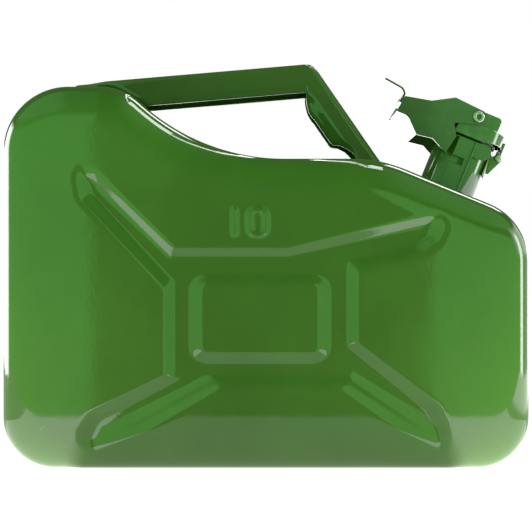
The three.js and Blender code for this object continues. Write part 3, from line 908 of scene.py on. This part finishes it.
place(turned("gasket_turned", [
    (9, 0.9), (16.4, 0.9), (16.8, 0.3), (20.2, 0.3), (20.6, 0.8), (20.4, 1.6), (9, 1.6)], rounding=0.12),
    "cap", "gasket_rubber", RUBBER, "gasket")
place(turned("retainer_turned", [
    (2.5, -0.6), (11, -0.6), (12.2, -1.2), (15.8, -1.2), (16, -0.2), (12.6, 0.5), (2.5, 0.5)],
    rounding=0.15), "cap", "zinc", ZINC, "gasket_retainer")
place(turned("spring_turned", [
    (3, 8.6), (3.4, 8.6), (9, 7.7), (9.4, 8.3), (3.6, 9.4), (3, 9.4)], rounding=0.12),
    "cap", "zinc", ZINC, "spring_washer")
place(turned("rivet_turned", [
    (0, -2.6), (4.2, -2.6), (4.8, -2), (4.8, -0.9), (2.2, -0.9), (2.2, 11.4), (4.4, 11.4),
    (4.1, 11.9), (0, 12.1)], rounding=0.15), "cap", "zinc", ZINC, "cap_rivet")
place(across("pivot_turned", PIVOT, pin_section(2.7, 1.9, 3.9, 51.8)), "cap", "zinc", ZINC,
      "lever_pivot")
place(across("hinge_pin_turned", HINGE, [
    (0, -11.3), (2, -11.3), (2.5, -10.8), (2.5, -10.35), (1.5, -10.1), (1.5, 10.1), (2.5, 10.35),
    (2.5, 10.8), (2, 11.3), (0, 11.3)]), "can", "zinc", ZINC, "hinge_pin")
for side, name in ((-1, "front"), (1, "rear")):
    ring = [(2.95, side * 21.1), (3.9, side * 21.1), (3.9, side * 22.7), (2.95, side * 22.7)]
    place(across("spacer_turned_" + name, PIVOT, ring, rounding=0.12), "cap", "zinc", ZINC,
          "pivot_spacer_" + name)

place(lever_sheet(), "lever", "lever_paint", LEVER_PAINT, "lever")
for side, name in ((-1, "front"), (1, "rear")):
    place(catch_bracket("catch_bracket_pressed_" + name, side), "can", "closure_paint", CLOSURE_PAINT,
          "catch_bracket_" + name)

# CAD nodes that stay in the picture: material, and the rounding of their edges.
KEPT = {
    "vent_pipe": (ZINC, 0.0), "hinge_lug": (TANK_PAINT, 0.35), "cap_strap": (CLOSURE_PAINT, 0.4),
    "lever_saddle": (CLOSURE_PAINT, 0.4),
}
for node, (material, width) in KEPT.items():
    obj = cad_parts[node]
    obj.data.materials.clear()
    obj.data.materials.append(material)
    weld = obj.modifiers.new("weld", "WELD")
    weld.merge_threshold = 0.004 * MM
    if width:
        bevel(obj, width, 3, 24)
        even_normals(obj)
    obj.data.polygons.foreach_set("use_smooth", [True] * len(obj.data.polygons))


# ---------------------------------------------------------------- studio
# What rays other than the camera's see. A band is (low, high, softness), a step is (from,
# to). Bearings are degrees from straight in front of the can, heights degrees over the
# horizon. Colours are radiances.
BEARING_SHIFT = 0.22
DARK_STRIP, DARK_STRIP_EDGE = (0.22, 0.10, 0.20, 1), (8.5, 8.8)
SIDE_PANELS, SIDE_PANELS_END = (0.62, 1.75, 0.62, 1), (80, 100)
BACK_WALL = 1.4
REAR_PANELS, REAR_PANELS_GAIN = (120, 157, 4), 4.0
BACK_MIDDLE, BACK_MIDDLE_DROP = (158, 168), 0.9
FLAG, FLAG_GAIN = (160, 177, 2), 3.1
LEFT_STRIP, RIGHT_STRIP = (86, 118, 4), (73, 84, 2)
STRIPS_TOP, STRIPS_LIGHT = (28, 22), (13, 13, 13, 1)
CEILING, WINGS = (0.16, 0.15, 0.13, 1), (0.60, 1.25, 0.60, 1)
BANK, BANK_HEIGHT, BANK_LIGHT = (66, 125, 6), (7, 30, 3), (3.6, 3.6, 3.6, 1)
LINE_X, LINE_Y, LINE_Z = (0.30, 0.62, 0.02), (0.30, 0.52, 0.03), (0.58, 0.66)
LINE_LIGHT = (12, 12, 12, 1)
WHITE = (1, 1, 1, 1)

WORLD = bpy.data.worlds.new("studio")
bpy.context.scene.world = WORLD
WORLD.use_nodes = True


def build_world():
    """A white studio. The camera sees plain white. Every other ray sees a dark strip
    straight in front of the can, tinted panels on both sides of it, a pale back, and a dim
    ceiling with a brighter wing on either side. Only reflections see the rear panels, the
    darker middle and the flag behind, the thin strips and the bank at the sides, and the
    line that lights the shoulder."""
    n = Nodes(WORLD.node_tree)
    rad = math.radians

    def times(a, b):
        return n.math("MULTIPLY", a, b)

    way = n.add("ShaderNodeSeparateXYZ", Vector=n.add("ShaderNodeTexCoord").outputs["Generated"])
    x, y, z = way.outputs
    on_left, on_right = n.math("LESS_THAN", x, 0.0), n.math("GREATER_THAN", x, 0.0)
    around = n.math("ABSOLUTE", n.math("ADD", n.math("ARCTAN2", x, times(y, -1.0)), rad(BEARING_SHIFT)))
    height = n.math("ARCSINE", z)
    ray = n.add("ShaderNodeLightPath")
    glossy = ray.outputs["Is Glossy Ray"]

    front = n.mix(n.step(around, *map(rad, DARK_STRIP_EDGE)), DARK_STRIP, SIDE_PANELS)
    back = n.math("SUBTRACT", times(n.arc(around, *REAR_PANELS), REAR_PANELS_GAIN),
                  n.step(around, *map(rad, BACK_MIDDLE), 0.0, BACK_MIDDLE_DROP))
    back = n.math("ADD", back, times(times(n.arc(around, *FLAG), on_left), FLAG_GAIN))
    back = n.math("ADD", times(back, glossy), BACK_WALL)
    walls = n.mix(n.step(around, *map(rad, SIDE_PANELS_END)), front, back)

    wings = n.math("MAXIMUM", n.step(x, -0.06, -0.32), n.step(x, 0.12, 0.55))
    wings = times(times(wings, n.step(y, 0.1, -0.1)), n.step(z, 0.44, 0.54))
    ceiling = n.mix(wings, CEILING, WINGS)
    walls_end = n.step(around, rad(70), rad(120), rad(19), rad(6))
    fade = n.step(around, rad(70), rad(110), n.step(x, -0.05, 0.05, rad(14), rad(5)), rad(4))
    over = n.math("DIVIDE", n.math("SUBTRACT", height, walls_end), fade, True)
    sky = n.mix(n.step(over, 0.0, 1.0), walls, ceiling)

    bank = times(n.arc(around, *BANK), n.arc(height, *BANK_HEIGHT))
    sky = n.mix(times(bank, times(n.step(x, 0.1, 0.2), glossy)), sky, BANK_LIGHT)
    strips = n.math("ADD", times(n.arc(around, *LEFT_STRIP), on_left),
                    times(n.arc(around, *RIGHT_STRIP), on_right))
    strips = times(times(strips, glossy), n.step(height, *map(rad, STRIPS_TOP)))
    sky = n.mix(strips, sky, STRIPS_LIGHT)
    line = times(n.window(x, *LINE_X), n.window(y, *LINE_Y))
    sky = n.mix(times(times(line, n.step(z, *LINE_Z)), glossy), sky, LINE_LIGHT)
    seen = n.mix(ray.outputs["Is Camera Ray"], sky, WHITE)
    light = n.add("ShaderNodeBackground", Color=seen, Strength=1.0)
    n.tree.links.new(light.outputs[0], n.add("ShaderNodeOutputWorld").inputs[0])


FLOOR_REACH, FLOOR_DROP = 3000.0, 0.05      # mm
FLOOR_LIGHT = 1.12
PATCH_X, PATCH_GAIN = (0.126, 0.345, 0.008), 2.5
UNDER_X, FAR_GAIN = (-0.4, 0.3, 0.08), 3.4
PAPER, PAPER_LIGHT = (0.82, 0.82, 0.82, 1), 0.86


def build_floor():
    """A plain pale floor. The camera sees lit paper. Other rays see a white light table that
    ends in front of the can, with a brighter patch on either side. Reflections also see it
    brighter far behind and on the right, and don't see its outer ends."""
    verts = [(-FLOOR_REACH, -FLOOR_REACH), (FLOOR_REACH, -FLOOR_REACH), (FLOOR_REACH, FLOOR_REACH),
             (-FLOOR_REACH, FLOOR_REACH)]
    floor = mesh_object("floor", [(x, y, -FLOOR_DROP) for x, y in verts], [(0, 1, 2, 3)], False)
    material, n = new_material("pale_floor")
    spot = n.add("ShaderNodeSeparateXYZ", Vector=n.add("ShaderNodeTexCoord").outputs["Object"])
    x, y, _ = spot.outputs
    aside = n.math("ABSOLUTE", x)
    ray = n.add("ShaderNodeLightPath")
    glossy = ray.outputs["Is Glossy Ray"]

    patch = n.math("MULTIPLY", n.window(aside, *PATCH_X), n.step(y, 0.0, -0.05))
    under = n.math("MULTIPLY", n.step(y, 0.9, 1.1), n.window(x, *UNDER_X))
    far = n.math("MULTIPLY", n.math("MAXIMUM", under, n.step(x, 0.40, 0.5)), glossy)
    lit = n.math("ADD", n.math("MULTIPLY", far, FAR_GAIN), FLOOR_LIGHT)
    lit = n.math("ADD", n.math("MULTIPLY", patch, PATCH_GAIN), lit)
    table = n.add("ShaderNodeEmission", Color=WHITE, Strength=lit)
    outer = n.math("MULTIPLY", n.step(aside, 0.8, 0.82), glossy)
    ends = n.add("ShaderNodeMixShader", Fac=n.math("MAXIMUM", n.step(y, -0.343, -0.347), outer))
    n.tree.links.new(table.outputs[0], ends.inputs[1])
    n.tree.links.new(n.add("ShaderNodeBsdfTransparent").outputs[0], ends.inputs[2])

    pale = n.add("ShaderNodeAddShader")
    paper = n.add("ShaderNodeBsdfDiffuse", Color=PAPER)
    lift = n.add("ShaderNodeEmission", Color=WHITE, Strength=PAPER_LIGHT)
    n.tree.links.new(paper.outputs[0], pale.inputs[0])
    n.tree.links.new(lift.outputs[0], pale.inputs[1])
    choose = n.add("ShaderNodeMixShader", Fac=ray.outputs["Is Camera Ray"])
    n.tree.links.new(ends.outputs[0], choose.inputs[1])
    n.tree.links.new(pale.outputs[0], choose.inputs[2])
    n.tree.links.new(choose.outputs[0], n.add("ShaderNodeOutputMaterial").inputs[0])
    floor.data.materials.append(material)


def soft_lamp(name, centre, turn, size, radiance):
    """A rectangular lamp facing down, which shows in the enamel as one clean highlight."""
    data = bpy.data.lights.new(name, "AREA")
    data.shape, data.size, data.size_y = "RECTANGLE", size[0], size[1]
    data.energy = radiance * size[0] * size[1] * math.pi
    lamp = bpy.data.objects.new(name, data)
    lamp.location = centre
    lamp.rotation_euler = (0, 0, math.radians(turn))
    lamp.visible_camera = False
    bpy.context.scene.collection.objects.link(lamp)


build_world()
build_floor()
LAMP_HEIGHT, LAMP_LIGHT = 0.805, 13
for name, (x, y), turn, size in (
        ("key_lamp", (0.228, -0.175), 0, (0.085, 0.17)),
        ("strip_lamp_front", (0.15, -0.132), 107, (0.236, 0.02)),
        ("strip_lamp_middle", (0.0935, 0.125), 98.4, (0.293, 0.016)),
        ("strip_lamp_back", (0.064, 0.485), 92, (0.43, 0.016))):
    soft_lamp(name, (x, y, LAMP_HEIGHT), turn, size, LAMP_LIGHT)

CAMERA_SPOT, LENS, SENSOR = (0, -0.8, 0.1325), 75.4, 36
camera_data = bpy.data.cameras.new("camera")
camera_data.sensor_width = SENSOR
camera_data.lens = LENS
camera = bpy.data.objects.new("camera", camera_data)
camera.location = CAMERA_SPOT
camera.rotation_euler = (math.pi / 2, 0, 0)     # level, looking along +Y
bpy.context.scene.collection.objects.link(camera)
bpy.context.scene.camera = camera
bpy.context.scene.view_settings.view_transform = "Standard"
